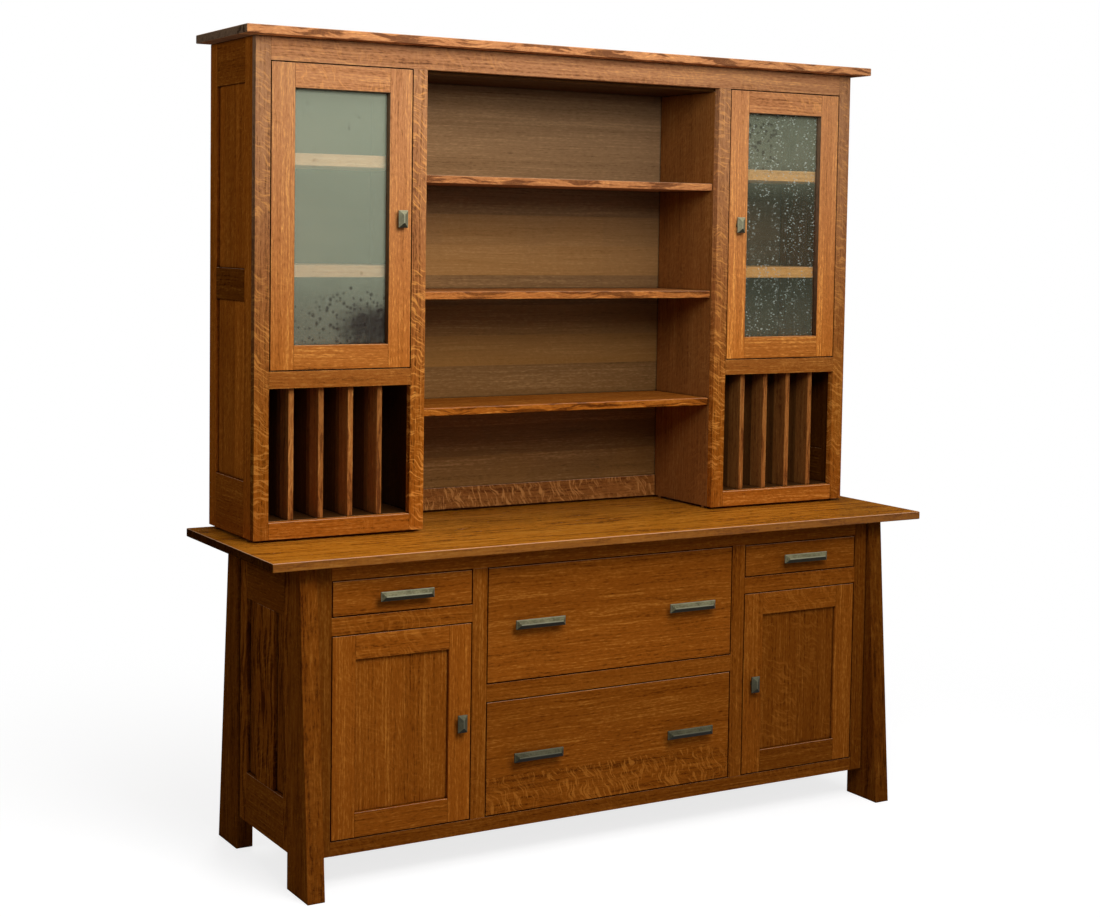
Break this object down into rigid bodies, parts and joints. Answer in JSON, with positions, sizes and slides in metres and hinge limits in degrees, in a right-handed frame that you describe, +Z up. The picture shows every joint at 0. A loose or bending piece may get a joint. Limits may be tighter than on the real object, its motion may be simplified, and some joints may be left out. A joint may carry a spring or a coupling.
{
  "type": "dresser with hutch",
  "caption": "Oak dresser on flared legs with panelled doors and wide drawers under a hutch with glass doors, letter racks and open shelves.",
  "frame": {"origin": "on the floor under the middle of the base", "axes": "+X to the right, +Y to the back, +Z up; the front faces -Y"},
  "size_m": [1.8288, 0.546, 1.937],
  "materials": {
    "stained_oak": "satin stained quartersawn oak",
    "inner_oak": "satin oak inside the cabinets",
    "drawer_wood": "clear finished pale hardwood",
    "seeded_glass": "clear seeded glass",
    "pewter": "dull pewter coloured cast metal"
  },
  "bodies": {
    "cabinet": {"base_top": "stained_oak", "leg_front_left": "stained_oak", "leg_front_right": "stained_oak", "leg_back_left": "stained_oak", "leg_back_right": "stained_oak", "base_face_frame": "stained_oak", "crown": "stained_oak", "hutch_face_frame": "stained_oak", "hutch_back": "stained_oak", "hutch_back_rail": "stained_oak", "centre_shelf_lower": "stained_oak", "centre_shelf_middle": "stained_oak", "centre_shelf_upper": "stained_oak", "hutch_partition_left": "stained_oak", "hutch_partition_right": "stained_oak", "letter_rack_left": "stained_oak", "letter_rack_right": "stained_oak", "base_side_left_frame": "stained_oak", "base_side_left_panel": "stained_oak", "base_side_right_frame": "stained_oak", "base_side_right_panel": "stained_oak", "hutch_side_left_frame": "stained_oak", "hutch_side_left_panel": "stained_oak", "hutch_side_right_frame": "stained_oak", "hutch_side_right_panel": "stained_oak", "base_floor": "inner_oak", "base_back": "inner_oak", "hutch_ceiling": "inner_oak", "base_partition_left": "inner_oak", "base_partition_right": "inner_oak", "cabinet_shelf_left_lower": "inner_oak", "cabinet_shelf_left_upper": "inner_oak", "cabinet_shelf_right_lower": "inner_oak", "cabinet_shelf_right_upper": "inner_oak"},
    "base_door_left": {"base_door_left_frame": "stained_oak", "base_door_left_panel": "stained_oak", "base_door_left_knob": "pewter"},
    "hutch_door_left": {"hutch_door_left_frame": "stained_oak", "hutch_door_left_glass": "seeded_glass", "hutch_door_left_knob": "pewter"},
    "side_drawer_left": {"side_drawer_left_front": "stained_oak", "side_drawer_left_box": "drawer_wood", "side_drawer_left_pull": "pewter"},
    "base_door_right": {"base_door_right_frame": "stained_oak", "base_door_right_panel": "stained_oak", "base_door_right_knob": "pewter"},
    "hutch_door_right": {"hutch_door_right_frame": "stained_oak", "hutch_door_right_glass": "seeded_glass", "hutch_door_right_knob": "pewter"},
    "side_drawer_right": {"side_drawer_right_front": "stained_oak", "side_drawer_right_box": "drawer_wood", "side_drawer_right_pull": "pewter"},
    "centre_drawer_lower": {"centre_drawer_lower_front": "stained_oak", "centre_drawer_lower_box": "drawer_wood", "centre_drawer_lower_pull_left": "pewter", "centre_drawer_lower_pull_right": "pewter"},
    "centre_drawer_upper": {"centre_drawer_upper_front": "stained_oak", "centre_drawer_upper_box": "drawer_wood", "centre_drawer_upper_pull_left": "pewter", "centre_drawer_upper_pull_right": "pewter"}
  },
  "joints": [
    {"name": "base_door_left_hinge", "type": "hinge", "parent": "cabinet", "child": "base_door_left", "pos_m": [-0.737, -0.20475, 0.34425], "axis": [0, 0, -1], "range_deg": [0, 110]},
    {"name": "hutch_door_left_hinge", "type": "hinge", "parent": "cabinet", "child": "hutch_door_left", "pos_m": [-0.8094, -0.0091, 1.5101], "axis": [0, 0, -1], "range_deg": [0, 110]},
    {"name": "side_drawer_left_slide", "type": "slide", "parent": "cabinet", "child": "side_drawer_left", "axis": [0, -1, 0], "range_m": [0, 0.28]},
    {"name": "base_door_right_hinge", "type": "hinge", "parent": "cabinet", "child": "base_door_right", "pos_m": [0.737, -0.20475, 0.34425], "axis": [0, 0, 1], "range_deg": [0, 110]},
    {"name": "hutch_door_right_hinge", "type": "hinge", "parent": "cabinet", "child": "hutch_door_right", "pos_m": [0.8094, -0.0091, 1.5101], "axis": [0, 0, 1], "range_deg": [0, 110]},
    {"name": "side_drawer_right_slide", "type": "slide", "parent": "cabinet", "child": "side_drawer_right", "axis": [0, -1, 0], "range_m": [0, 0.28]},
    {"name": "centre_drawer_lower_slide", "type": "slide", "parent": "cabinet", "child": "centre_drawer_lower", "axis": [0, -1, 0], "range_m": [0, 0.28]},
    {"name": "centre_drawer_upper_slide", "type": "slide", "parent": "cabinet", "child": "centre_drawer_upper", "axis": [0, -1, 0], "range_m": [0, 0.28]}
  ]
}
